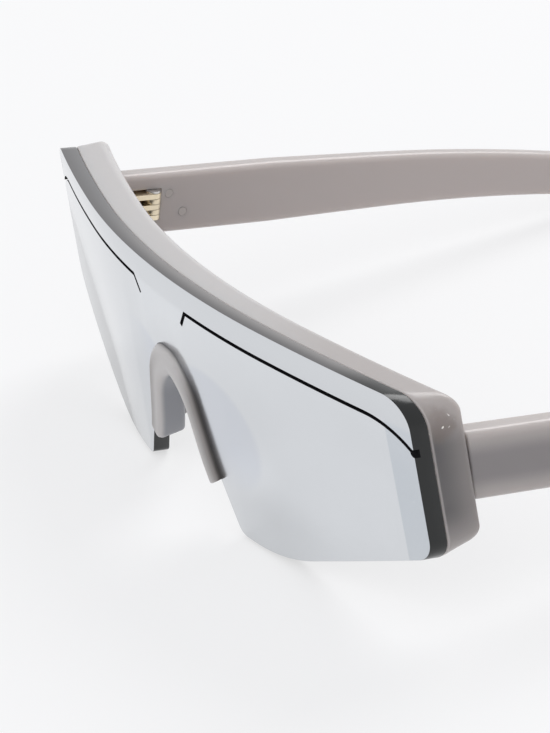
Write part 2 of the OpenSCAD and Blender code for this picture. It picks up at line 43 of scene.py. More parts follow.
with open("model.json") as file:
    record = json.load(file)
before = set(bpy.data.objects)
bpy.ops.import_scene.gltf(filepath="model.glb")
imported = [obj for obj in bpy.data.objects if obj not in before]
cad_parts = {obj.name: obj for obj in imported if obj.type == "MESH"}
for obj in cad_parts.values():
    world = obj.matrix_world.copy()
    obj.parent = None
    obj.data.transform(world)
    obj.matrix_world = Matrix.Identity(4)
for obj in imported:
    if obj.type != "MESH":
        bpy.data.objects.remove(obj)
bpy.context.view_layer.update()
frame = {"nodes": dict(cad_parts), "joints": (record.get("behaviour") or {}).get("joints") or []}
MM = 0.001
BOND = 0.05 * MM     # room for the bond between the lens and what seats on it
SLACK = 0.02 * MM    # room round the head of a screw or rivet
CLEAR = 5 * MM       # how far a cutting tool reaches past what it cuts
WELD = 1e-6          # points nearer than this are one point


def length(name, value, description):
    return FloatProperty(name=name, description=description, default=value * MM, unit="LENGTH", precision=5)


def angle(name, value, description):
    return FloatProperty(name=name, description=description, default=math.radians(value), subtype="ANGLE")


def ratio(name, value, description, least=0, most=2):
    return FloatProperty(name=name, description=description, default=value, min=least, max=most)


def colour(name, value, description):
    return FloatVectorProperty(name=name, description=description, default=value, size=3,
                               subtype="COLOR", min=0, max=1)


# Sizes and colours

class LensSizes(bpy.types.PropertyGroup):
    """Sizes of the one-piece lens, its wrap and its nose cut-out"""
    top_width: length("Top Width", 136.2, "Width of the lens at its top edge")
    low_width: length("Low Width", 139.2, "Width of the lens at its lower side corners")
    height: length("Height", 46.9, "Height of the lens at its lowest edge")
    side_height: length("Side Height", 29.2, "Height of the lens at its sides")
    thickness: length("Thickness", 3.3, "Thickness of the lens")
    lean: angle("Lean", 14.65, "Lean of the lens from square to the temples")
    top_corner: length("Top Corner", 5.5, "Radius of the upper corners")
    low_corner: length("Low Corner", 5.0, "Radius of the lower side corners")
    low_bend: length("Low Bend", 31.0, "Distance of the bend in the low edge from the middle")
    low_curve: length("Low Curve", 40.0, "Radius of the bend in the low edge")
    wrap_radius: length("Wrap Radius", 160.0, "Radius of the lens curve in the middle")
    end_radius: length("End Radius", 387.0, "Radius of the lens curve towards the ends")
    wrap_turn: length("Wrap Turn", 34.0, "Distance from the middle at which the curve turns flatter")
    foot_width: length("Cut-out Foot Width", 36.6, "Width of the nose cut-out at its foot")
    knee_width: length("Cut-out Knee Width", 25.8, "Width of the nose cut-out where its legs bend")
    knee_drop: length("Cut-out Knee Drop", 36.0, "Depth of that bend below the top edge")
    neck_width: length("Cut-out Neck Width", 16.6, "Width of the nose cut-out at its neck")
    neck_drop: length("Cut-out Neck Drop", 21.0, "Depth of the neck below the top edge")
    crown_width: length("Cut-out Crown Width", 6.0, "Width of the nose cut-out's crown")
    crown_drop: length("Cut-out Crown Drop", 16.1, "Depth of the crown below the top edge")
    crown_round: length("Cut-out Crown Round", 5.4, "Radius of the crown's corners")
    foot_round: length("Cut-out Foot Round", 2.5, "Radius of the corners at the cut-out's foot")
    groove_drop: length("Groove Drop", 5.4, "Depth of the groove line below the top edge")
    groove_width: length("Groove Width", 0.8, "Width of the groove line")
    groove_sink: length("Groove Sink", 1.1, "How deep the groove is cut")
    panel_top: length("Panel Top Width", 20.4, "Width of the centre panel at the groove")
    panel_low: length("Panel Low Width", 16.4, "Width of the centre panel at the strokes' feet")
    panel_drop: length("Panel Drop", 8.4, "Depth of the strokes' feet below the top edge")
    groove_inset: length("Groove Turn Inset", 4.3, "Distance of the groove's turn from the lens side")
    groove_round: length("Groove Turn Round", 16.0, "Radius of the groove's turn")
    groove_exit: length("Groove Exit Drop", 9.2, "Depth at which the groove leaves the lens side")
    groove_notch: length("Groove Notch", 1.5, "Width of the small notch where the groove leaves")
    edge_round: length("Edge Round", 0.22, "Bevel of the lens's polished edges")


class FrontSizes(bpy.types.PropertyGroup):
    """Sizes of the brow frame"""
    depth: length("Depth", 10.1, "Depth of the front, from the lens front to the frame's back")
    brow_height: length("Brow Height", 9.0, "Height of the brow bar")
    brow_round: length("Brow Round", 2.0, "Radius of the brow's upper back edge")
    back_corner: length("Back Corner", 2.4, "Radius of the upper and lower corners at the back")
    end_top: length("End Top Width", 10.1, "Width of the end pieces at the brow")
    end_low: length("End Low Width", 8.2, "Width of the end pieces at their feet")
    end_inner: length("End Inner Round", 9.0, "Radius between the brow bar and the end pieces")
    foot_rise: length("Foot Rise", 2.8, "How far the end piece's foot rises towards the back")
    foot_round: length("Foot Round", 2.2, "Radius of the foot's back corner")
    foot_level: ratio("Foot Levelling", 0.4, "How much flatter the foot's underside is at its back", most=1)
    side_round: length("Side Round", 1.1, "Radius of the back edges at the sides and the opening")
    front_round: length("Front Round", 0.4, "Radius of the edges against the lens")
    head: length("Screw Head", 1.8, "Diameter of the screw heads")
    head_sink: length("Head Sink", 1.8, "How deep the lens screws' heads lie")
    head_height: length("Head Height", 0.5, "Height of the screw heads")
    leaf_width: length("Leaf Room", 5.7, "Width of the front leaf's seat")


class BridgeSizes(bpy.types.PropertyGroup):
    """Sizes of the saddle and its pads"""
    wall: length("Wall", 4.6, "Thickness of the saddle band")
    crown_more: ratio("Crown Thickening", 1.1, "How much thicker the band is over the crown", least=1)
    proud: length("Proud", 0.95, "How far the saddle stands out in front of the lens")
    front_round: length("Front Round", 1.1, "Radius of the band's front edges")
    flange_width: length("Flange Width", 2.2, "Width of the flange behind the lens")
    flange: length("Flange", 1.4, "Thickness of the flange")
    drop: length("Drop", 38.0, "Depth of the saddle's feet below the top edge")
    foot_slant: ratio("Foot Slant", 0.5, "How much lower the feet end on their inner side")
    foot_rise: ratio("Foot Rise", 0.35, "How much the feet's undersides rise towards the back")
    pad_thickness: length("Pad Thickness", 2.4, "Thickness of the pads")
    pad_reach: length("Pad Reach", 8.5, "How far the pads stand back from the lens")
    pad_height: length("Pad Height", 15.0, "Height of the pads")


class TempleSizes(bpy.types.PropertyGroup):
    """Sizes of the temples and their hinges"""
    height: length("Height", 13.2, "Height of the temple at the hinge")
    root: length("Root", 28.0, "Length over which that height stays")
    ear_height: length("Ear Height", 9.4, "Height of the temple at the ear")
    tip_round: length("Tip Round", 4.2, "Radius of the tip")
    thickness: length("Thickness", 4.6, "Thickness of the temple at the hinge")
    tip_thickness: length("Tip Thickness", 3.4, "Thickness of the temple at the tip")
    edge_round: length("Edge Round", 1.3, "Radius of the temple's long edges")
    drop: length("Drop", 13.7, "Depth of the temple's middle below the top edge")
    inset: length("Inset", 0.9, "How far the temple lies in from the lens side")
    reach: length("Reach", 111.5, "Length of the temple from the hinge to the tip's centre")
    bend_at: length("Bend At", 56.0, "Where the slow bend begins")
    slow_reach: length("Slow Reach", 42.0, "Length of the slow bend")
    slow_radius: length("Slow Radius", 500.0, "Radius of the slow bend")
    fast_radius: length("Fast Radius", 30.0, "Radius of the bend behind the ear")
    tip_in: length("Tip In", 2.5, "How far the tip curves in")
    pin_back: length("Pin Back", 6.8, "Distance of the hinge pin behind the frame")
    butt_gap: length("Butt Gap", 0.45, "Gap between the temple and the end piece")
    end_round: length("End Round", 0.35, "Bevel of the temple's front end")
    seat_gap: length("Seat Gap", 0.1, "Clearance round the hinge")


class Finishes(bpy.types.PropertyGroup):
    """Colours of the finishes"""
    mirror: colour("Mirror", (0.72, 0.74, 0.765), "Silver mirror coating of the lens")
    smoke: colour("Smoke", (0.008, 0.009, 0.009), "Dark body of the lens, seen at its edges")
    milk: colour("Milk", (0.42, 0.385, 0.37), "Milky translucent grey of the frame and temples")
    saddle: colour("Saddle", (0.52, 0.50, 0.49), "Pale grey of the saddle and pads")
    # Saddle Root and Saddle Inside are painted shade: the dark brown on the side where the saddle stands out
    # of the lens, and the blue grey of the saddle in the shade inside the cut-out.
    saddle_root_shade: colour("Saddle Root", (0.050, 0.042, 0.038), "Dark brown of the saddle against the lens")
    saddle_inside_shade: colour("Saddle Inside", (0.27, 0.275, 0.295), "Blue grey of the saddle in the cut-out")
    gold: colour("Gold", (0.86, 0.75, 0.56), "Pale gold of the hinges")
    steel: colour("Steel", (0.62, 0.61, 0.60), "Steel of the screws and core wires")
    rivet: colour("Rivet", (0.42, 0.385, 0.37), "Brushed rivets of the temple leaves")
    table: colour("Table", (0.90, 0.90, 0.905), "Plain pale table top")


# Shader expressions

class Sock:
    """A material socket on which Python's operators add Math nodes."""

    def __init__(self, tree, socket):
        self.tree, self.socket = tree, socket

    def _math(self, operation, *values):
        node = self.tree.nodes.new("ShaderNodeMath")
        node.operation = operation
        for slot, value in zip(node.inputs, values):
            feed(self.tree, slot, value)
        return Sock(self.tree, node.outputs[0])

    def __add__(self, other):
        return self._math("ADD", self, other)

    def __sub__(self, other):
        return self._math("SUBTRACT", self, other)

    def __rsub__(self, other):
        return self._math("SUBTRACT", other, self)

    def __mul__(self, other):
        return self._math("MULTIPLY", self, other)

    def __truediv__(self, other):
        return self._math("DIVIDE", self, other)

    __radd__ = __add__


def feed(tree, slot, value):
    """Links a Sock to an input, or sets its value."""
    if isinstance(value, Sock):
        tree.links.new(value.socket, slot)
    elif slot.type == "RGBA":
        slot.default_value = tuple(value)[:3] + (1.0,)
    else:
        slot.default_value = value


class Finish:
    """One node-built material around a Principled shader."""

    def __init__(self, name, **sockets):
        self.material = bpy.data.materials.new(name)
        self.material.use_nodes = True
        self.tree = self.material.node_tree
        self.tree.nodes.clear()
        self.output = self.tree.nodes.new("ShaderNodeOutputMaterial")
        self.shader = self.tree.nodes.new("ShaderNodeBsdfPrincipled")
        self.tree.links.new(self.shader.outputs[0], self.output.inputs[0])
        self.set(**sockets)

    def set(self, **sockets):
        """Sets or links the shader's sockets, each named in lower case with underscores."""
        for name, value in sockets.items():
            feed(self.tree, self.shader.inputs[name.replace("_", " ").title().replace("Ior", "IOR")], value)

    def node(self, kind, settings=None, inputs=None, out=0):
        """Adds a node: its settings first, then the values or links of its sockets."""
        node = self.tree.nodes.new("ShaderNode" + kind)
        for name, value in (settings or {}).items():
            setattr(node, name, value)
        for name, value in (inputs or {}).items():
            feed(self.tree, node.inputs[name], value)
        return Sock(self.tree, node.outputs[out])

    def measures(self, *names):
        """Measures that the piece's mesh carries at its points."""
        return [self.node("Attribute", {"attribute_name": name}, out="Fac") for name in names]

    def size_of(self, value):
        """The value without its sign."""
        return self.node("Math", {"operation": "ABSOLUTE"}, {0: value})

    def noise(self, scale, detail=2.0, roughness=0.5):
        """Noise that stays with the piece; its scale is per metre."""
        return self.node("TexNoise", inputs={"Vector": self.node("TexCoord", out="Object"), "Scale": scale,
                                             "Detail": detail, "Roughness": roughness})

    def step(self, value, low, high):
        """Rises smoothly from 0 at the low value to 1 at the high one."""
        return self.node("MapRange", {"interpolation_type": "SMOOTHSTEP"},
                         {"Value": value, "From Min": low, "From Max": high})

    def fade(self, value, low, high):
        """Falls smoothly from 1 at the low value to 0 at the high one."""
        return 1 - self.step(value, low, high)

    def oval(self, first, second, middle, reach):
        """1 on an oval round a middle, and less inside it; both are given in the two measures."""
        one, two = first - middle[0], second - middle[1]
        return one * one / reach[0] ** 2 + two * two / reach[1] ** 2

    def blend(self, factor, first, second):
        """The first colour, or the second where the factor is 1: sockets 6, 7 and 2 are those for colours."""
        return self.node("Mix", {"data_type": "RGBA"}, {0: factor, 6: first, 7: second}, out=2)

    def paint(self, base, *coats):
        """Sets the colour: a base and coats over it, each with its mask and its shade."""
        for mask, shade in coats:
            base = self.blend(mask, base, shade)
        self.set(base_color=base)
        return self.material

    def bump(self, height, distance, strength):
        inputs = {"Height": height, "Distance": distance, "Strength": strength}
        self.set(normal=self.node("Bump", inputs=inputs))

    def mix(self, other, factor):
        """Mixes another shader into the surface."""
        shader = Sock(self.tree, self.shader.outputs[0])
        mixed = self.node("MixShader", inputs={0: factor, 1: shader, 2: other})
        self.tree.links.new(mixed.socket, self.output.inputs[0])


def scaled(shade, factor, tint=(1, 1, 1)):
    return tuple(min(1.0, c * factor * t) for c, t in zip(shade, tint))


# The worn frame and the wrap

class Wearing:
    """The sizes, the wrap curve of the lens and the turn from the worn frame to the standing one."""

    def __init__(self, scene):
        self.lens, self.front = scene.sunglasses_lens, scene.sunglasses_front
        self.bridge, self.temple = scene.sunglasses_bridge, scene.sunglasses_temple
        lens = self.lens
        self.sin, self.cos = math.sin(lens.lean), math.cos(lens.lean)
        self.turn = math.asin(lens.wrap_turn / lens.wrap_radius)
        joint = next(j for j in frame["joints"] if j["name"].startswith("left"))
        axis, pin, drop = Vector(joint["axis"]), Vector(joint["pos_m"]), self.temple.drop
        rotate = Matrix.Rotation(-math.atan2(axis.y, axis.z), 4, "X")
        self.pin = Vector((pin.x, self.depth(pin.x, drop, self.front.depth) + self.temple.pin_back, -drop))
        self.stand = Matrix.Translation(pin - rotate @ self.pin) @ rotate
        self.ear = self.temple.bend_at + self.temple.slow_reach

    def back(self, x):
        """How far the lens front lies back at x."""
        lens, x = self.lens, abs(x)
        if x <= lens.wrap_turn:
            return lens.wrap_radius - math.sqrt(lens.wrap_radius ** 2 - x * x)
        sin, cos = math.sin(self.turn), math.cos(self.turn)
        cx = lens.wrap_turn - lens.end_radius * sin
        cy = lens.wrap_radius - lens.wrap_radius * cos + lens.end_radius * cos
        return cy - math.sqrt(lens.end_radius ** 2 - (x - cx) ** 2)

    def slope(self, x):
        """How far the lens front turns back at x."""
        lens, x = self.lens, abs(x)
        if x <= lens.wrap_turn:
            return math.asin(x / lens.wrap_radius)
        return math.asin((x - lens.wrap_turn) / lens.end_radius + math.sin(self.turn))

    def depth(self, x, drop, behind):
        """Where a surface this far behind the lens front lies, at x and this far below the top."""
        return self.back(x) + (behind / math.cos(self.slope(x)) + drop * self.sin) / self.cos

    def behind(self, point):
        """How far behind the lens front a worn point lies."""
        x, y, z = point
        return ((y - self.back(x)) * self.cos + z * self.sin) * math.cos(self.slope(x))

    def side(self, drop):
        """Half the width of the lens this far below its top."""
        lens = self.lens
        return (lens.top_width + (lens.low_width - lens.top_width) * drop / lens.side_height) / 2

    def wrap(self, mesh):
        """Bends a flat blank, drawn as x, depth behind the lens front and height, round the face."""
        for vert in mesh.verts:
            x, behind, z = vert.co
            vert.co = Vector((x, self.depth(x, -z, behind), z))

    def box(self, node):
        """A CAD node's lowest and highest corners as worn."""
        back = self.stand.inverted()
        points = [back @ v.co for v in frame["nodes"][node].data.vertices]
        return [Vector([pick(p[i] for p in points) for i in range(3)]) for pick in (min, max)]


# Outlines, drawn from the front

def corner(before, point, after, radius, steps=12):
    """Points of a rounded corner."""
    b = Vector(point)
    u, w = (Vector(before) - b).normalized(), (Vector(after) - b).normalized()
    if radius == 0 or u.dot(w) < -0.99999:
        return [b]
    half = math.acos(max(-1, min(1, u.dot(w)))) / 2
    middle = b + (u + w).normalized() * radius / math.sin(half)
    start, stop = b + u * radius / math.tan(half) - middle, b + w * radius / math.tan(half) - middle
    sweep = math.atan2(start.x * stop.y - start.y * stop.x, start.dot(stop))
    return [middle + Matrix.Rotation(sweep * i / steps, 2) @ start for i in range(steps + 1)]


def rounded(points):
    """An outline from corners given as x, z and radius."""
    n = len(points)
    made = []
    for i, (x, z, r) in enumerate(points):
        made += corner(points[i - 1][:2], (x, z), points[(i + 1) % n][:2], r)
    return made


def mirrored(half):
    return half + [(-x, z, r) for x, z, r in reversed(half)]


def inset(points, amounts):
    """Moves each side of a clockwise outline in by its own amount; side i starts at corner i."""
    n = len(points)
    spots = [Vector(p[:2]) for p in points]
    ways = [(spots[(i + 1) % n] - spots[i]).normalized() for i in range(n)]
    starts = [spots[i] + Vector((ways[i].y, -ways[i].x)) * amounts[i] for i in range(n)]
    moved = []
    for i in range(n):
        a, b = starts[i - 1], starts[i]
        cross = ways[i - 1].x * ways[i].y - ways[i - 1].y * ways[i].x
        share = ((b.x - a.x) * ways[i].y - (b.y - a.y) * ways[i].x) / cross
        spot = a + ways[i - 1] * share
        change = (amounts[i - 1] + amounts[i]) / 2
        moved.append((spot.x, spot.y, max(points[i][2] + (change if cross > 0 else -change), 0.2 * MM)))
    return moved


def quarter(distance, radius):
    """How far a rounded edge draws in at a distance from the face that it rounds into."""
    return radius - math.sqrt(max(radius ** 2 - (radius - distance) ** 2, 0)) if distance < radius else 0


# Mesh steps

def blank(points, near, far):
    """A flat slab with this outline, from one depth to another."""
    mesh = bmesh.new()
    face = mesh.faces.new([mesh.verts.new((p.x, near, p.y)) for p in points])
    grown = bmesh.ops.extrude_face_region(mesh, geom=[face])
    bmesh.ops.translate(mesh, vec=(0, far - near, 0),
                        verts=[v for v in grown["geom"] if isinstance(v, bmesh.types.BMVert)])
    bmesh.ops.recalc_face_normals(mesh, faces=mesh.faces)
    return mesh


def loft(rings):
    """A closed body drawn out through rings of equally many points."""
    mesh = bmesh.new()
    row = [mesh.verts.new(p) for p in rings[0]]
    mesh.faces.new(row)
    for ring in rings[1:]:
        edges = [mesh.edges.get((v, row[i - 1])) for i, v in enumerate(row)]
        grown = bmesh.ops.extrude_edge_only(mesh, edges=edges)["geom"]
        found = {tuple(g.co): g for g in grown if isinstance(g, bmesh.types.BMVert)}
        row = [found[tuple(v.co)] for v in row]
        for vert, point in zip(row, ring):
            vert.co = point
    mesh.faces.new(row)
    bmesh.ops.recalc_face_normals(mesh, faces=mesh.faces)
    return mesh


def block(low, high):
    """A box between two corners, as a cutting tool."""
    mesh = bmesh.new()
    bmesh.ops.create_cube(mesh, size=1)
    low, high = Vector(low), Vector(high)
    bmesh.ops.scale(mesh, vec=high - low, verts=mesh.verts)
    bmesh.ops.translate(mesh, vec=(low + high) / 2, verts=mesh.verts)
    return mesh


def drill(base, tip, radius, segments=40):
    """A round bar from one point to another, as a cutting tool."""
    base, tip = Vector(base), Vector(tip)
    mesh = bmesh.new()
    bmesh.ops.create_cone(mesh, cap_ends=True, segments=segments, radius1=radius, radius2=radius,
                          depth=(tip - base).length)
    turn = (tip - base).to_track_quat("Z", "Y").to_matrix().to_4x4()
    mesh.transform(Matrix.Translation((base + tip) / 2) @ turn)
    return mesh


def both(*tools):
    """These meshes, and the same ones on the wearer's other side."""
    others = []
    for tool in tools:
        other = tool.copy()
        other.transform(Matrix.Diagonal((-1, 1, 1, 1)))
        bmesh.ops.reverse_faces(other, faces=other.faces)
        others.append(other)
    return list(tools) + others


def loose(mesh, name):
    """An object of a mesh, which it uses up."""
    data = bpy.data.meshes.new(name)
    mesh.to_mesh(data)
    mesh.free()
    made = bpy.data.objects.new(name, data)
    bpy.context.scene.collection.objects.link(made)
    return made


def settled(body):
    """The mesh of an object with its modifiers applied; the object and its tools are removed."""
    evaluated = body.evaluated_get(bpy.context.evaluated_depsgraph_get())
    made = bmesh.new()
    made.from_mesh(evaluated.to_mesh())
    evaluated.to_mesh_clear()
    for change in body.modifiers:
        if change.type == "BOOLEAN":
            bpy.data.objects.remove(change.object)
    bpy.data.objects.remove(body)
    return made


def combine(mesh, operation, *tools):
    """Cuts tools from a mesh, or joins them to it, with exact booleans."""
    body = loose(mesh, "body")
    for tool in tools:
        change = body.modifiers.new("Combine", "BOOLEAN")
        change.operation, change.solver, change.object = operation, "EXACT", loose(tool, "tool")
    return settled(body)


def cut(mesh, place, normal, clear=False):
    """Cuts a mesh along a plane, and clears what lies past it if asked."""
    bmesh.ops.bisect_plane(mesh, geom=mesh.verts[:] + mesh.edges[:] + mesh.faces[:], dist=WELD / 10,
                           plane_co=place, plane_no=normal, clear_outer=clear)


def strips(mesh, pitch):
    """Cuts a flat blank into upright strips, so that it can follow the wrap."""
    reach = max(abs(v.co.x) for v in mesh.verts)
    for i in range(-int(reach / pitch), int(reach / pitch) + 1):
        cut(mesh, (i * pitch, 0, 0), (1, 0, 0))


def trim(mesh, place, normal):
    """Cuts away what lies past a plane, closes the cut and gives back its edges."""
    cut(mesh, place, normal, clear=True)
    rim = [e for e in mesh.edges if e.is_boundary]
    bmesh.ops.contextual_create(mesh, geom=rim)
    return rim


def soften(mesh, edges, width, segments):
    bmesh.ops.bevel(mesh, geom=edges, offset=width, offset_type="OFFSET", affect="EDGES",
                    segments=segments, profile=0.5, material=-1, clamp_overlap=True)


def carry(mesh, **measures):
    """Writes measures at each point of the mesh, for its material to read."""
    for name, measure in measures.items():
        layer = mesh.verts.layers.float.new(name)
        for vert in mesh.verts:
            vert[layer] = measure(vert.co)


def out_from_middle(co):
    return co.x / MM


def below_top(co):
    return -co.z / MM


def finish_piece(name, mesh, body, node, materials, smooth=35):
    """Makes the piece that stands for a CAD node: on its body and its materials."""
    piece = loose(mesh, name)
    data = piece.data
    data.polygons.foreach_set("use_smooth", [True] * len(data.polygons))
    if smooth:
        data.set_sharp_from_angle(angle=math.radians(smooth))
        piece.modifiers.new("Weighted Normal", "WEIGHTED_NORMAL").keep_sharp = True
    for material in materials:
        data.materials.append(material)
    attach(piece, body)
    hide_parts(node)


# Finishes. Their measures are in millimetres: across is out from the middle to the wearer's left, drop is
# below the top, behind is behind the lens front. Only up is a share, of half the temple's height.

COOL, DEEP_BLUE, WARM = (0.97, 1.03, 1.06), (0.97, 1.0, 1.06), (1.02, 0.99, 0.98)
# The middle and reach of the pads' painted shade on the mirror.
PAD_SHADE_MIDDLE, PAD_SHADE_REACH = (14.0, 27.0), (14.5, 11.4)      # across and drop
# The middle and reach of the painted brown shade patch on the end pieces.
BROWN_SHADE_MIDDLE, BROWN_SHADE_REACH = (4.4, 5.2), (3.0, 2.65)     # drop and behind


def mirror_finish(shades):
    """Silver flash coating with dust and smears, and painted reflection and shade: a bluer band at each end,
    the pads' shade through it, darker and lighter areas.
    """
    made = Finish("mirror_coating", metallic=1.0, specular_ior_level=0.5)
    silver = shades.mirror
    along, drop = made.measures("across", "drop")
    across = made.size_of(along)
    dust, smear = made.noise(900.0, 3.0, 0.6), made.noise(60.0)
    # Masks of painted reflection (a bluer band at each end, a lighter cheek) and of painted shade (the pads
    # seen through the lens).
    band = made.step(across - drop * 0.06, 62.1, 62.5)
    pads = made.fade(made.oval(across, drop, PAD_SHADE_MIDDLE, PAD_SHADE_REACH), 0.80, 1.14)
    cheek_sheen = made.step(drop, 8.0, 20.0) * made.step(along, 30.0, 50.0) * (1 - band)
    made.set(roughness=0.10 + smear * 0.08)
    # Coats of painted reflection and shade: the band, the pads' shade, a darker top strip, foot and wearer's
    # right wing, and a lighter cheek; then the lens's own smears and dust.
    return made.paint(silver,
                      (band, scaled(silver, 0.87, (0.97, 1.0, 1.03))),
                      (pads * 0.66, scaled(silver, 0.89, (0.965, 0.985, 1.05))),
                      (made.fade(drop, 4.5, 6.0), scaled(silver, 0.93)),
                      (made.step(drop, 29.0, 40.0), scaled(silver, 0.87)),
                      (made.step(along, -5.0, -16.0) * 0.8, scaled(silver, 0.90)),
                      (cheek_sheen * 0.6, scaled(silver, 1.05)),
                      (made.step(smear, 0.35, 0.75) * 0.25, scaled(silver, 0.94)),
                      (made.step(dust, 0.70, 0.80) * 0.5, (0.92, 0.93, 0.95)))


def smoke_finish(shades, thickness):
    """Polished smoke polycarbonate of the lens's edges, with painted reflection: greyer along the top between
    the near corners, and pale streaks of painted highlight.
    """
    made = Finish("smoke_edge", specular_ior_level=0.5, ior=1.45)
    across, drop, behind = made.measures("across", "drop", "behind")
    haze, highlight_streak = made.noise(140.0), made.noise(90.0, 4.0, 0.7)
    # Painted reflection of the frame on the top edge: greyer along it, less pale towards the wearer's right
    # and at the lens front.
    top = made.fade(drop, 0.4, 2.5) * made.fade(across, 48.0, 61.0)
    pale = made.blend(made.step(across, -40.0, 0.0), (0.135, 0.132, 0.135), (0.215, 0.205, 0.20))
    pale = made.blend(made.step(behind, 0.0, thickness), (0.112, 0.108, 0.11), pale)
    made.set(roughness=0.14 + haze * 0.10)
    # Random haze in the smoke, streaks of painted highlight, and the top edge's painted reflection.
    return made.paint(scaled(shades.smoke, 0.7),
                      (haze, scaled(shades.smoke, 1.5)),
                      (made.step(highlight_streak, 0.55, 0.75) * 0.5, (0.035, 0.039, 0.040)),
                      (top, pale))


def groove_finish():
    """Matt black of the groove cut into the lens."""
    made = Finish("groove_black", specular_ior_level=0.1)
    grain = made.noise(1200.0, 2.0, 0.6)
    made.set(roughness=0.75 + grain * 0.2)
    return made.paint((0.004, 0.004, 0.005), (grain, (0.012, 0.012, 0.014)))


def milk_base(name, shade, weight=0.6):
    """Milky translucent plastic with soft clouds; gives back the finish, its colour and its clouds."""
    made = Finish(name, ior=1.5, subsurface_weight=weight, subsurface_scale=4 * MM,
                  subsurface_radius=(1.0, 0.92, 0.85), coat_weight=0.22, coat_roughness=0.14)
    cloud, fine = made.noise(45.0, 3.0, 0.55), made.noise(700.0)
    made.set(roughness=0.30 + fine * 0.12)
    made.bump(fine, 0.01 * MM, 0.5)
    return made, made.blend(cloud, scaled(shade, 0.93), scaled(shade, 1.08)), cloud


def brow_finish(shades):
    """The frame's milky plastic, with painted shade and highlight: end pieces darkened for the smoke lens,
    the hinge and shade showing through them, a brown shade patch, a lighter top, a light front edge line and
    glints.
    """
    made, milk, cloud = milk_base("milky_brow", shades.milk)
    behind, drop, along = made.measures("behind", "drop", "across")
    across = made.size_of(along)
    # Painted shade: the end pieces' sides darker, deepest near the lens, for the lens and hinge seen through
    # them and for the light that falls on them; a brown shade patch near the top corner.
    ends = made.step(drop, 1.5, 9.0) * made.fade(drop, 20.0, 30.0) * made.step(across, 50.0, 60.0)
    deep = made.blend(made.step(behind, 3.8, 9.8), scaled(shades.milk, 0.24, DEEP_BLUE),
                      scaled(shades.milk, 0.56))
    shade_patch = made.oval(drop, behind, BROWN_SHADE_MIDDLE, BROWN_SHADE_REACH)
    wisp, glint = made.noise(260.0, 3.0, 0.6), made.noise(1100.0, 0.0)
    brown = made.fade(shade_patch + (wisp - 0.5) * 2.6, 0.0, 1.7) * made.step(across, 55.0, 62.0)
    # Painted highlight: a lighter top along the brow, a light line along the front edge against the lens, and
    # glints in the shade patch.
    lit_crest = made.fade(drop, 0.2, 1.2) * made.fade(along, 12.0, 54.0)
    return made.paint(milk,
                      (ends * (0.8 + cloud * 0.3), deep),
                      (brown * 0.45, (0.17, 0.12, 0.095)),
                      (lit_crest * 0.8, scaled(shades.milk, 1.35, COOL)),
                      (lit_crest * made.step(behind, 7.5, 9.9) * 0.6, scaled(shades.milk, 1.6, COOL)),
                      (lit_crest * made.fade(behind, 3.3, 6.5) * 0.8, scaled(shades.milk, 1.22, COOL)),
                      (made.fade(behind, 3.55, 3.85) * 0.6, scaled(shades.milk, 1.25)),
                      (made.step(glint, 0.735, 0.755) * made.fade(shade_patch, 0.6, 1.4), (0.95, 0.93, 0.88)))


def saddle_finish(shades):
    """The saddle's paler plastic, with painted shade: dark brown where it stands out of the lens, darker
    along the legs, and blue grey inside the cut-out.
    """
    made, milk, cloud = milk_base("saddle_plastic", shades.saddle, 0.4)
    behind, inward, drop = made.measures("behind", "inward", "drop")
    # Painted shade: blue grey inside the cut-out, and dark brown on the side where the saddle stands out of
    # the lens, spreading along the legs.
    inside = made.blend(cloud, scaled(shades.saddle_inside_shade, 0.9), scaled(shades.saddle_inside_shade, 1.1))
    legs = made.step(drop, 16.5, 25.0)
    root = made.fade(inward, 0.3, 1.3) * made.step(behind, -0.95, -0.1) * (0.4 + legs * 0.55)
    return made.paint(inside,
                      (made.step(behind, 0.6, -0.6), milk),
                      (made.fade(inward, 0.6, 4.0) * legs * 0.62, scaled(shades.saddle_root_shade, 2.2)),
                      (root, shades.saddle_root_shade))


def temple_finish(shades):
    """The temples' milky plastic, with painted light: a lighter inner face and top edge, and painted shade
    through the middle of its outer face.
    """
    made, milk, cloud = milk_base("milky_temple", shades.milk)
    up, outward = made.measures("up", "outward")
    # Painted shade through the middle of the outer face; painted light on the inner face and along the top
    # edge.
    core = made.fade(made.size_of(up), 0.25, 0.82) * made.step(outward, 0.4, 2.0)
    return made.paint(milk,
                      (made.step(outward, -0.4, -2.0), scaled(shades.milk, 1.14, WARM)),
                      (core * (0.85 + cloud * 0.2), scaled(shades.milk, 0.60, (0.99, 1.0, 1.04))),
                      (made.step(up, 0.72, 1.0) * 0.6, scaled(shades.milk, 1.35)))


def metal_finish(name, shade, rough):
    """Satin metal with fine grain and a slightly uneven tone."""
    made = Finish(name, metallic=1.0)
    grain = made.noise(2500.0, 2.0, 0.6)
    made.set(roughness=rough + grain * 0.14)
    made.bump(grain, 0.008 * MM, 0.6)
    return made.paint(scaled(shade, 0.86), (made.noise(300.0), scaled(shade, 1.06)))


# The lens

KNEE_BEND, NECK_BEND = 2.0, 0.9     # radii of the cut-out's bends, as shares of its neck's width
SQUARE, LEVEL = 0.9, 1e-5           # how square to Y a flat face is, and how near its depth
THROUGH = 0.9                       # share of the thickness that an outer wall has at least
MIRROR, SMOKE, GROOVE = range(3)    # the lens's material slots


def cutout(lens):
    """Half the nose cut-out, from its foot to its crown."""
    return [(lens.foot_width / 2, -lens.height, lens.foot_round),
            (lens.knee_width / 2, -lens.knee_drop, KNEE_BEND * lens.neck_width),
            (lens.neck_width / 2, -lens.neck_drop, NECK_BEND * lens.neck_width),
            (lens.crown_width / 2, -lens.crown_drop, lens.crown_round)]


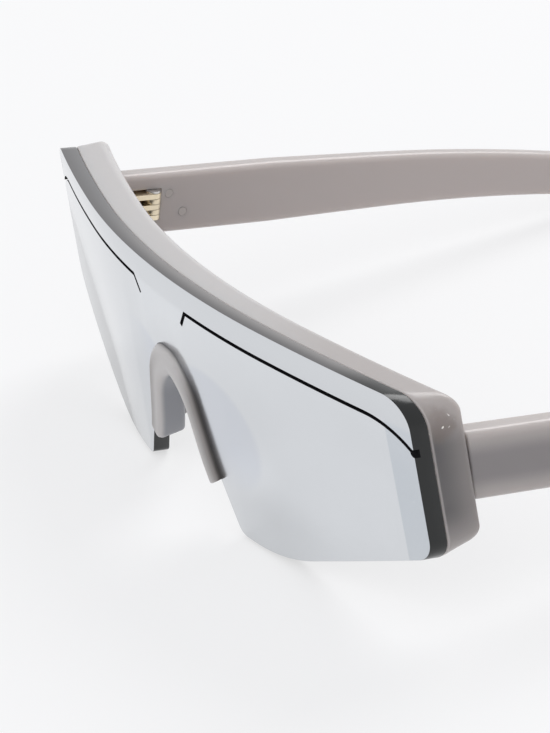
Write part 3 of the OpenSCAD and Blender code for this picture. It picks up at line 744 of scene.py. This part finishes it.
def ribbon(path, width):
    """The outline of a line of even width along a path."""
    sides = [[], []]
    for i, point in enumerate(path):
        before, after = path[max(i - 1, 0)], path[min(i + 1, len(path) - 1)]
        u = (point - before).normalized() if i else (after - point).normalized()
        w = (after - point).normalized() if i < len(path) - 1 else u
        normal = Vector((-u.y - w.y, u.x + w.x)).normalized()
        grow = width / 2 / normal.dot(Vector((-u.y, u.x)))
        sides[0].append(point + normal * grow)
        sides[1].append(point - normal * grow)
    return sides[0] + sides[1][::-1]


def groove_path(worn):
    """The groove line: a short stroke up to its corner, along the brow, and down and out at the side."""
    lens = worn.lens
    foot = Vector((lens.panel_low / 2, -lens.panel_drop))
    start = Vector((lens.panel_top / 2, -lens.groove_drop))
    turn = Vector((worn.side(lens.groove_drop) - lens.groove_inset, -lens.groove_drop))
    leave = Vector((worn.side(lens.groove_exit), -lens.groove_exit))
    end = leave + (leave - turn).normalized() * CLEAR
    return [foot, start] + corner(start, turn, end, lens.groove_round) + [end]


def ease_face(mesh, level, lens):
    """Bevels the outer edges of the face at this depth, and leaves the groove's edges."""
    faces = [f for f in mesh.faces
             if abs(f.normal.y) > SQUARE and abs(f.calc_center_median().y - level) < LEVEL]

    def outer(edge):
        reach = max(abs(v.co.y - level) for f in edge.link_faces for v in f.verts)
        return edge.calc_face_angle(0) > 1 and reach > THROUGH * lens.thickness

    walls = {e for f in faces for e in f.edges if outer(e)}
    soften(mesh, list(walls), lens.edge_round, 3)


class SUNGLASSES_OT_lens(bpy.types.Operator):
    """Build the mirrored lens with its groove and nose cut-out"""
    bl_idname = "sunglasses.lens"
    bl_label = "Lens"

    def execute(self, context):
        worn, shades = Wearing(context.scene), context.scene.sunglasses_finishes
        lens, sink = worn.lens, worn.lens.groove_sink
        half = [(lens.top_width / 2, 0, lens.top_corner),
                (lens.low_width / 2, -lens.side_height, lens.low_corner),
                (lens.low_bend, -lens.height, lens.low_curve)]
        mesh = blank(rounded(mirrored(half + cutout(lens))), 0, lens.thickness)
        line = ribbon(groove_path(worn), lens.groove_width)
        x, z = worn.side(lens.groove_exit), -lens.groove_exit
        notch = drill((x, -MM, z), (x, sink, z), lens.groove_notch / 2)
        mesh = combine(mesh, "DIFFERENCE", *both(blank(line, -MM, sink), notch))
        bmesh.ops.remove_doubles(mesh, verts=mesh.verts, dist=WELD)
        for face in mesh.faces:
            deepest = max(v.co.y for v in face.verts)
            face.material_index = GROOVE if WELD < deepest < sink + WELD else MIRROR
        ease_face(mesh, 0, lens)
        ease_face(mesh, lens.thickness, lens)
        strips(mesh, MM)
        for face in mesh.faces:
            if max(v.co.y for v in face.verts) < LEVEL and face.normal.y < -SQUARE:
                face.material_index = MIRROR
            elif face.material_index == MIRROR:
                face.material_index = SMOKE
        carry(mesh, behind=lambda co: co.y / MM)
        worn.wrap(mesh)
        carry(mesh, across=out_from_middle, drop=below_top)
        for edge in mesh.edges:
            if len({f.material_index for f in edge.link_faces}) > 1:
                edge.smooth = False
        mesh.transform(worn.stand)
        finishes = [mirror_finish(shades), smoke_finish(shades, lens.thickness / MM), groove_finish()]
        finish_piece("lens", mesh, "front", "shield_lens", finishes, 0)
        return {"FINISHED"}


# The brow frame

def brow_ring(worn, behind, more=0.0):
    """The frame's outline at a depth behind the lens front, drawn in where its edges are rounded."""
    lens, front = worn.lens, worn.front
    near, far = lens.thickness + BOND, front.depth
    share = (behind - near) / (far - near)
    foot = lens.side_height - front.foot_rise * share
    inner = lens.top_width / 2 - front.end_top
    slant = (lens.low_width / 2 - front.end_low - inner) / (lens.side_height - front.brow_height)
    fall = (lens.height - lens.side_height) / (lens.low_width / 2 - lens.low_bend) * front.end_low
    low = foot + fall * (1 - front.foot_level * share)
    half = [(worn.side(0), 0, lens.top_corner + (front.back_corner - lens.top_corner) * share),
            (worn.side(foot), -foot, lens.low_corner + (front.back_corner - lens.low_corner) * share),
            (inner + slant * (foot - front.brow_height), -low, front.side_round),
            (inner, -front.brow_height, front.end_inner)]
    first = quarter(behind - near, front.front_round)
    side, sole, top = (max(first, quarter(far - behind, radius)) + more
                       for radius in (front.side_round, front.foot_round, front.brow_round))
    return rounded(inset(mirrored(half), [side, sole, side, side, side, sole, side, top]))


class SUNGLASSES_OT_brow(bpy.types.Operator):
    """Build the brow frame with its end pieces, screw holes and hinge seats"""
    bl_idname = "sunglasses.brow"
    bl_label = "Brow Frame"

    def execute(self, context):
        worn = Wearing(context.scene)
        mesh = loft(self.rings(worn))
        strips(mesh, 1.5 * MM)
        worn.wrap(mesh)
        mesh = combine(mesh, "DIFFERENCE", *both(*self.holes(worn)))
        carry(mesh, behind=lambda co: worn.behind(co) / MM, across=out_from_middle, drop=below_top)
        mesh.transform(worn.stand)
        finish_piece("brow_frame", mesh, "front", "front_frame",
                     [brow_finish(context.scene.sunglasses_finishes)])
        return {"FINISHED"}

    def rings(self, worn):
        """The frame's outlines from its face against the lens to its back, with a smaller one at each end."""
        front, near, far = worn.front, worn.lens.thickness + BOND, worn.front.depth
        edge = max(front.foot_round, front.brow_round)
        start, stop, smaller = near + front.front_round, far - edge, 0.1 * MM
        turns = [math.radians(a) for a in range(0, 91, 10)]
        depths = [near + front.front_round * (1 - math.cos(a)) for a in turns[::3]]
        depths += [start + (stop - start) * i / 6 for i in range(1, 6)]
        depths += sorted({round(far - radius * (1 - math.sin(a)), 7)
                          for radius in (edge, front.brow_round, front.side_round) for a in turns})
        rows = [(depths[0], smaller)] + [(d, 0.0) for d in depths] + [(far, smaller)]
        return [[(p.x, d, p.y) for p in brow_ring(worn, d, more)] for d, more in rows]

    def holes(self, worn):
        """The left front leaf's seat and the counterbores of the left lens screws, as cutting tools."""
        lens, front, gap = worn.lens, worn.front, worn.temple.seat_gap
        low, high = worn.box("front_leaf_left")
        tools = [block((low.x - gap, low.y, low.z - gap),
                       (low.x + front.leaf_width + gap, high.y + CLEAR, high.z + gap))]
        seat = front.depth - lens.thickness - front.head_sink - front.head_height
        brow = (lens.low_bend, front.brow_height - front.head)
        foot = ((lens.low_width - front.end_low) / 2,
                lens.side_height - front.foot_rise - front.foot_round - front.head)
        for x, drop in (brow, foot):
            y = worn.depth(x, drop, lens.thickness) + seat
            tools.append(drill((x, y, -drop), (x, y + 4 * CLEAR, -drop), front.head / 2 + SLACK))
        return tools


# The saddle

ARCH_POINTS = 110
CAP, CAP_SHRINK = 0.45 * MM, 0.12       # length of a foot's rounded end, and the share that it draws in
PAD_BULGE, PAD_POWER = 0.08, 0.55       # how full the pad's root and its faces are
VOXEL = 0.2 * MM


def resampled(points, count):
    """The same line with this many points, evenly spaced."""
    runs = [0.0]
    for a, b in zip(points, points[1:]):
        runs.append(runs[-1] + (b - a).length)
    made, at = [], 0
    for i in range(count):
        want = runs[-1] * i / (count - 1)
        while at < len(points) - 2 and runs[at + 1] < want:
            at += 1
        share = (want - runs[at]) / max(runs[at + 1] - runs[at], 1e-12)
        made.append(points[at].lerp(points[at + 1], share))
    return made


def arch(worn, inward, drop, count=ARCH_POINTS):
    """The line of the cut-out, drawn in by an amount, from one foot over the crown to the other."""
    foot, knee, neck, crown = cutout(worn.lens)
    corners = [(foot[0] - inward, foot[1], 0), (knee[0] - inward, knee[1], knee[2] + inward),
               (neck[0] - inward, neck[1], neck[2] - inward),
               (crown[0] - inward / 2, crown[1] - inward * worn.bridge.crown_more,
                max(crown[2] - inward, worn.bridge.wall / 2))]
    line = rounded(mirrored(corners))
    kept = [p for p in line if p.y > -drop]
    first, last = line.index(kept[0]), line.index(kept[-1])
    for at, step, place in ((first, -1, 0), (last, 1, len(kept) + 1)):
        a, b = line[at], line[(at + step) % len(line)]
        kept.insert(place, a.lerp(b, (a.y + drop) / (a.y - b.y)))
    return resampled(kept, count)


def saddle_section(worn):
    """The section of the saddle and its flange: inward from the cut-out, and behind the lens front."""
    lens, bridge = worn.lens, worn.bridge
    back, seat = lens.thickness + bridge.flange, lens.thickness + BOND
    wall_round, flange_round, seat_round = 0.9 * MM, 0.6 * MM, 0.3 * MM
    corners = [(BOND, -bridge.proud, bridge.front_round), (bridge.wall, -bridge.proud, bridge.front_round),
               (bridge.wall, back, wall_round), (-bridge.flange_width, back, flange_round),
               (-bridge.flange_width, seat, seat_round), (BOND, seat, 0.0)]
    n = len(corners)
    made = []
    for i, (d, t, r) in enumerate(corners):
        made += corner(corners[i - 1][:2], (d, t), corners[(i + 1) % n][:2], r, 7)
    return made


def foot_caps(ring, inner):
    """Rings that round a foot off, from its last ring outwards, away from the ring before it."""
    middle = sum(ring, Vector()) / len(ring)
    way = (middle - sum(inner, Vector()) / len(inner)).normalized()
    caps = []
    for a in (math.radians(22.5), math.radians(45), math.radians(67.5), math.radians(85)):
        size = 1 - CAP_SHRINK * (1 - math.cos(a))
        caps.append([middle + (p - middle) * size + way * CAP * math.sin(a) for p in ring])
    return caps


def pad(worn):
    """The left pad: a thin crowned half oval that stands off the saddle's leg, back and outwards."""
    lens, bridge = worn.lens, worn.bridge
    half = bridge.pad_thickness / 2
    root = lens.thickness + bridge.flange / 2 + half
    middle = bridge.drop - bridge.pad_height / 2
    slant = (lens.knee_width - lens.neck_width) / 2 / (lens.knee_drop - lens.neck_drop)

    def spot(out, down):
        drop = middle + down
        x = lens.neck_width / 2 + slant * (drop - lens.neck_drop) + half + bridge.pad_reach / 2 * out
        behind = root + (bridge.pad_reach - root + lens.thickness) * out
        return Vector((x, worn.depth(x, drop, behind), -drop))

    centre, out, down = spot(0, 0), spot(1, 0) - spot(0, 0), spot(0, bridge.pad_height / 2) - spot(0, 0)
    across = out.cross(down).normalized() * half
    out *= (out.length + half) / out.length
    mesh = bmesh.new()
    bmesh.ops.create_uvsphere(mesh, u_segments=48, v_segments=24, radius=1)
    for vert in mesh.verts:
        u, v, w = vert.co
        w = math.copysign(abs(w) ** PAD_POWER, w)
        vert.co = centre + out * (u if u > 0 else u * PAD_BULGE) + down * v + across * w
    bmesh.ops.recalc_face_normals(mesh, faces=mesh.faces)
    return mesh


class SUNGLASSES_OT_saddle(bpy.types.Operator):
    """Build the saddle that lines the nose cut-out, with its two pads"""
    bl_idname = "sunglasses.saddle"
    bl_label = "Saddle"

    def execute(self, context):
        worn = Wearing(context.scene)
        mesh = self.band(worn)
        worn.wrap(mesh)
        mesh = combine(mesh, "UNION", *both(pad(worn)))
        body = loose(mesh, "saddle")
        melt = body.modifiers.new("Remesh", "REMESH")
        melt.mode, melt.voxel_size = "VOXEL", VOXEL
        ease = body.modifiers.new("Smooth", "SMOOTH")
        ease.factor, ease.iterations = 0.5, 6
        mesh = settled(body)
        edge = arch(worn, 0, worn.bridge.drop, 600)
        near = KDTree(len(edge))
        for i, point in enumerate(edge):
            near.insert((point.x, 0, point.y), i)
        near.balance()
        carry(mesh, inward=lambda co: near.find((co.x, 0, co.z))[2] / MM,
              behind=lambda co: worn.behind(co) / MM, drop=below_top)
        mesh.transform(worn.stand)
        finish_piece("saddle", mesh, "front", "nose_bridge",
                     [saddle_finish(context.scene.sunglasses_finishes)], 0)
        return {"FINISHED"}

    def band(self, worn):
        """The band and its flange, drawn along the cut-out and rounded off at both feet."""
        bridge, section, lines = worn.bridge, saddle_section(worn), []
        for p in section:
            foot = bridge.drop - CAP + bridge.foot_slant * p.x - bridge.foot_rise * (p.y + bridge.proud)
            lines.append(arch(worn, p.x, foot))
        rings = [[Vector((line[i].x, p.y, line[i].y)) for p, line in zip(section, lines)]
                 for i in range(ARCH_POINTS)]
        return loft(foot_caps(rings[0], rings[1])[::-1] + rings + foot_caps(rings[-1], rings[-2]))


# The temples

def temple_place(worn, run):
    """The temple's centre line: how far back and up it is, and its turn, this far along."""
    temple, pin, radius = worn.temple, worn.pin, worn.temple.fast_radius
    if run < temple.bend_at:
        return pin.y + run, pin.z, 0.0
    if run < worn.ear:
        turn = math.asin((run - temple.bend_at) / temple.slow_radius)
        return pin.y + run, pin.z - temple.slow_radius * (1 - math.cos(turn)), turn
    slow = math.asin(temple.slow_reach / temple.slow_radius)
    turn = slow + (run - worn.ear) / radius
    fall = temple.slow_radius * (1 - math.cos(slow)) + radius * (math.cos(slow) - math.cos(turn))
    return pin.y + worn.ear + radius * (math.sin(turn) - math.sin(slow)), pin.z - fall, turn


def temple_height(worn, run):
    """The temple's height this far along."""
    temple = worn.temple
    if run < worn.ear:
        share = max(run - temple.root, 0) / (worn.ear - temple.root)
        return temple.height + (temple.ear_height - temple.height) * share
    share = (run - worn.ear) / (temple.reach - worn.ear)
    return temple.ear_height + (2 * temple.tip_round - temple.ear_height) * share


def temple_middle(worn, run):
    """How far out the middle of the temple lies this far along."""
    temple = worn.temple
    share = max(run - temple.bend_at / 2, 0) / (temple.reach - temple.bend_at / 2)
    return worn.side(temple.drop) - temple.inset - temple.thickness / 2 - temple.tip_in * share ** 2


def temple_section(worn, run, past=0.0):
    """The rounded section this far along the temple, or past the tip's centre."""
    temple = worn.temple
    y, z, turn = temple_place(worn, run)
    fade = math.sqrt(max(1 - (past / temple.tip_round) ** 2, 0))
    share = min(max(run / temple.reach, 0), 1)
    thick = temple.thickness + (temple.tip_thickness - temple.thickness) * share
    high, wide = temple_height(worn, run) / 2 * fade, thick / 2 * ((1 + fade) / 2 if past else 1)
    r = min(temple.edge_round, high * 0.9, wide * 0.9)
    middle = temple_middle(worn, run)
    ring = []
    for i, (cu, cv) in enumerate(((1, 1), (-1, 1), (-1, -1), (1, -1))):
        for j in range(7):
            q = math.radians(90 * i + 15 * j)
            u, v = cu * (wide - r) + r * math.cos(q), cv * (high - r) + r * math.sin(q)
            ring.append(Vector((middle + u, y + v * math.sin(turn) + past * math.cos(turn),
                                z + v * math.cos(turn) - past * math.sin(turn))))
    return ring


class SUNGLASSES_OT_temples(bpy.types.Operator):
    """Build the two temples with the room for their hinges"""
    bl_idname = "sunglasses.temples"
    bl_label = "Temples"

    def execute(self, context):
        worn, milk = Wearing(context.scene), temple_finish(context.scene.sunglasses_finishes)
        for hand, mesh in zip(("left", "right"), both(self.temple(worn))):
            mesh.transform(worn.stand)
            finish_piece("temple_arm_" + hand, mesh, hand + "_temple", "temple_" + hand, [milk])
        return {"FINISHED"}

    def temple(self, worn):
        """The left temple: lofted along its line, cut off against the end piece and cut out for its hinge."""
        temple, pin = worn.temple, worn.pin
        mesh = loft(self.rings(worn))
        face = worn.front.depth + temple.butt_gap

        def butt(x, drop):
            return Vector((x, worn.depth(x, drop, face), -drop))

        x = temple_middle(worn, 0)
        across = butt(x + MM, temple.drop) - butt(x - MM, temple.drop)
        upward = butt(x, temple.drop - MM) - butt(x, temple.drop + MM)
        normal = across.cross(upward).normalized()
        rim = trim(mesh, butt(x, temple.drop), normal if normal.y < 0 else -normal)
        soften(mesh, rim, temple.end_round, 4)
        mesh = combine(mesh, "DIFFERENCE", *self.holes(worn))

        def up(co):
            run = min(co.y - pin.y, temple.reach)
            y, z, turn = temple_place(worn, run)
            return 2 * ((co.z - z) * math.cos(turn) + (co.y - y) * math.sin(turn)) / temple_height(worn, run)

        carry(mesh, up=up, outward=lambda co: (co.x - temple_middle(worn, co.y - pin.y)) / MM)
        return mesh

    def rings(self, worn):
        """The temple's sections, closer together past its root, and round the tip."""
        temple, pitch, last = worn.temple, 3 * MM, 0.998
        runs = [-4 * CLEAR, 0, temple.root / 2, temple.root]
        runs += [temple.root + pitch * i for i in range(1, int((temple.reach - temple.root) / pitch))]
        shares = [math.sin(math.radians(a)) for a in range(10, 90, 10)] + [last]
        return ([temple_section(worn, run) for run in runs + [temple.reach]]
                + [temple_section(worn, temple.reach, temple.tip_round * share) for share in shares])

    def holes(self, worn):
        """The room for the left barrels, the temple leaf and its rivets, as cutting tools."""
        pin, gap = worn.pin, worn.temple.seat_gap
        leaf, barrels = worn.box("temple_leaf_left")[1], worn.box("hinge_screws")
        reach = max(abs(end.z - pin.z) for end in barrels) + gap
        low, top = pin.z - reach, pin.z + reach
        relief = (worn.box("front_leaf_left")[1].x - pin.x) + 2 * gap
        plate = pin.y + relief + gap
        tools = [drill((pin.x, pin.y, low), (pin.x, pin.y, top), relief),
                 block((pin.x - CLEAR, pin.y - 2 * CLEAR, low), (pin.x + relief, pin.y, top)),
                 block((pin.x - CLEAR, pin.y, low), (leaf.x, plate, top))]
        low, high = worn.box("temple_rivets_left")
        head, sink = worn.front.head / 2, worn.front.head_height
        for y, z in ((low.y + head, high.z - head), (high.y - head, low.z + head)):
            tools.append(drill((pin.x - 2 * MM, y, z), (pin.x + sink, y, z), head + SLACK))
        return tools


# Hinges and fasteners

def softened(node, width, name, body, material):
    """A copy of a CAD node with its sharp edges eased, in the node's place."""
    mesh = bmesh.new()
    mesh.from_mesh(frame["nodes"][node].data)
    bmesh.ops.remove_doubles(mesh, verts=mesh.verts, dist=WELD)
    bmesh.ops.dissolve_limit(mesh, angle_limit=math.radians(1), verts=mesh.verts, edges=mesh.edges)
    edges = [e for e in mesh.edges if len(e.link_faces) == 2 and e.calc_face_angle(0) > math.radians(35)]
    soften(mesh, edges, width, 2)
    finish_piece(name, mesh, body, node, [material], 30)


class SUNGLASSES_OT_hinges(bpy.types.Operator):
    """Ease the edges of the hinge leaves and give the fasteners their finish"""
    bl_idname = "sunglasses.hinges"
    bl_label = "Hinges"

    def execute(self, context):
        shades, leaf, small = context.scene.sunglasses_finishes, 0.12 * MM, 0.1 * MM
        gold = metal_finish("pale_gold", shades.gold, 0.28)
        steel = metal_finish("satin_steel", shades.steel, 0.22)
        rivet = metal_finish("brushed_rivet", shades.rivet, 0.5)
        for hand in ("left", "right"):
            arm = hand + "_temple"
            softened("front_leaf_" + hand, leaf, "hinge_front_" + hand, "front", gold)
            softened("temple_leaf_" + hand, leaf, "hinge_back_" + hand, arm, gold)
            softened("temple_rivets_" + hand, small, "rivets_" + hand, arm, rivet)
        for node in ("lens_screws", "front_leaf_screws", "hinge_screws"):
            softened(node, small, node + "_eased", "front", steel)
        for node in ("core_wire_left", "core_wire_right"):
            materials = frame["nodes"][node].data.materials
            materials.clear()
            materials.append(steel)
        return {"FINISHED"}


# The stage, with the camera's place and directions as worn, in metres

FOCAL, SENSOR = 152.2, 36       # millimetres
CAMERA_PLACE = Vector((0.4609, -0.24564, 0.19879))
CAMERA_RIGHT, CAMERA_UP = Vector((0.476, 0.875, 0.0889)), Vector((-0.3764, 0.1113, 0.9197))
TABLE_HALF, TABLE_DROP = 4, 0.03 * MM
TABLE_GLOW = 0.65               # share of plain glow in the table, for the rays that look at it


def pale_rays(tree):
    """1 for the rays of the camera and of reflections, which see the plain pale studio, and 0 for others."""
    rays = tree.nodes.new("ShaderNodeLightPath").outputs
    return Sock(tree, rays["Is Camera Ray"]) + Sock(tree, rays["Is Glossy Ray"])


def table_finish(shade):
    """Plain matt table top, which looks nearly white and keeps its shadows."""
    made = Finish("pale_table", roughness=0.6, specular_ior_level=0.2, base_color=shade)
    glow = made.node("Emission", inputs={"Color": (0.97, 0.97, 0.973), "Strength": 1.0})
    made.mix(glow, pale_rays(made.tree) * TABLE_GLOW)
    return made.material


class SUNGLASSES_OT_stage(bpy.types.Operator):
    """Lay the pale table, set the studio light and aim the camera"""
    bl_idname = "sunglasses.stage"
    bl_label = "Stage"

    def execute(self, context):
        scene = context.scene
        mesh = bmesh.new()
        bmesh.ops.create_grid(mesh, x_segments=4, y_segments=4, size=TABLE_HALF)
        bmesh.ops.translate(mesh, vec=(0, 0, -TABLE_DROP), verts=mesh.verts)
        table = loose(mesh, "table_top")
        table.data.materials.append(table_finish(scene.sunglasses_finishes.table))
        self.lamp(scene, "window", (-0.5, 0.9, 1.1), 0.9, 9.0)
        self.lamp(scene, "fill", (0.6, -1.0, 1.2), 1.2, 6.0)
        self.world(scene)
        self.camera(scene)
        scene.view_settings.view_transform = "Standard"
        return {"FINISHED"}

    def lamp(self, scene, name, place, size, power):
        """A round soft light, aimed at the middle of the table."""
        light = bpy.data.lights.new(name, "AREA")
        light.shape, light.size, light.energy = "DISK", size, power
        shown = bpy.data.objects.new(name, light)
        shown.location = place
        shown.rotation_mode = "QUATERNION"
        shown.rotation_quaternion = (-Vector(place)).to_track_quat("-Z", "Y")
        scene.collection.objects.link(shown)

    def world(self, scene):
        """Even light from all round, and a plain pale backdrop for what looks at it."""
        scene.world = bpy.data.worlds.new("studio")
        scene.world.use_nodes = True
        tree = scene.world.node_tree
        light, backdrop = tree.nodes["Background"], tree.nodes.new("ShaderNodeBackground")
        feed(tree, light.inputs["Color"], (0.95, 0.96, 1.0))
        feed(tree, light.inputs["Strength"], 0.62)
        feed(tree, backdrop.inputs["Color"], (0.86, 0.865, 0.875))
        shown = tree.nodes.new("ShaderNodeMixShader")
        for slot, value in zip(shown.inputs, (pale_rays(tree), Sock(tree, light.outputs[0]),
                                              Sock(tree, backdrop.outputs[0]))):
            feed(tree, slot, value)
        tree.links.new(shown.outputs[0], tree.nodes["World Output"].inputs["Surface"])

    def camera(self, scene):
        """The photograph's view."""
        camera = bpy.data.objects.new("camera", bpy.data.cameras.new("camera"))
        camera.data.sensor_width, camera.data.lens = SENSOR, FOCAL
        camera.data.clip_start, camera.data.clip_end = 0.05, 20
        back = CAMERA_RIGHT.cross(CAMERA_UP).normalized()
        up = back.cross(CAMERA_RIGHT).normalized()
        seat = Matrix((CAMERA_RIGHT, up, back)).transposed().to_4x4()
        seat.translation = CAMERA_PLACE
        seat = Wearing(scene).stand @ seat
        camera.location = seat.translation
        camera.rotation_euler = seat.to_euler()
        scene.collection.objects.link(camera)
        scene.camera = camera


class SUNGLASSES_PT_parts(bpy.types.Panel):
    """Lists the pieces of the sunglasses"""
    bl_idname = "SUNGLASSES_PT_parts"
    bl_label = "Sunglasses"
    bl_space_type = "VIEW_3D"
    bl_region_type = "UI"
    bl_category = "Sunglasses"

    def draw(self, context):
        for name in GROUPS:
            group = getattr(context.scene, name)
            box = self.layout.box()
            for prop in group.bl_rna.properties.keys():
                if prop not in ("rna_type", "name"):
                    box.prop(group, prop)
        for step in STEPS:
            self.layout.operator(step.bl_idname)


STEPS = (SUNGLASSES_OT_lens, SUNGLASSES_OT_brow, SUNGLASSES_OT_saddle, SUNGLASSES_OT_temples,
         SUNGLASSES_OT_hinges, SUNGLASSES_OT_stage)
GROUPS = {"sunglasses_lens": LensSizes, "sunglasses_front": FrontSizes, "sunglasses_bridge": BridgeSizes,
          "sunglasses_temple": TempleSizes, "sunglasses_finishes": Finishes}
CLASSES = tuple(GROUPS.values()) + STEPS + (SUNGLASSES_PT_parts,)


def register():
    for item in CLASSES:
        bpy.utils.register_class(item)
    for name, group in GROUPS.items():
        setattr(bpy.types.Scene, name, PointerProperty(type=group))


def unregister():
    for name in GROUPS:
        delattr(bpy.types.Scene, name)
    for item in reversed(CLASSES):
        bpy.utils.unregister_class(item)


def main():
    register()
    bpy.ops.sunglasses.lens()
    bpy.ops.sunglasses.brow()
    bpy.ops.sunglasses.saddle()
    bpy.ops.sunglasses.temples()
    bpy.ops.sunglasses.hinges()
    bpy.ops.sunglasses.stage()


if __name__ == "__main__":
    main()
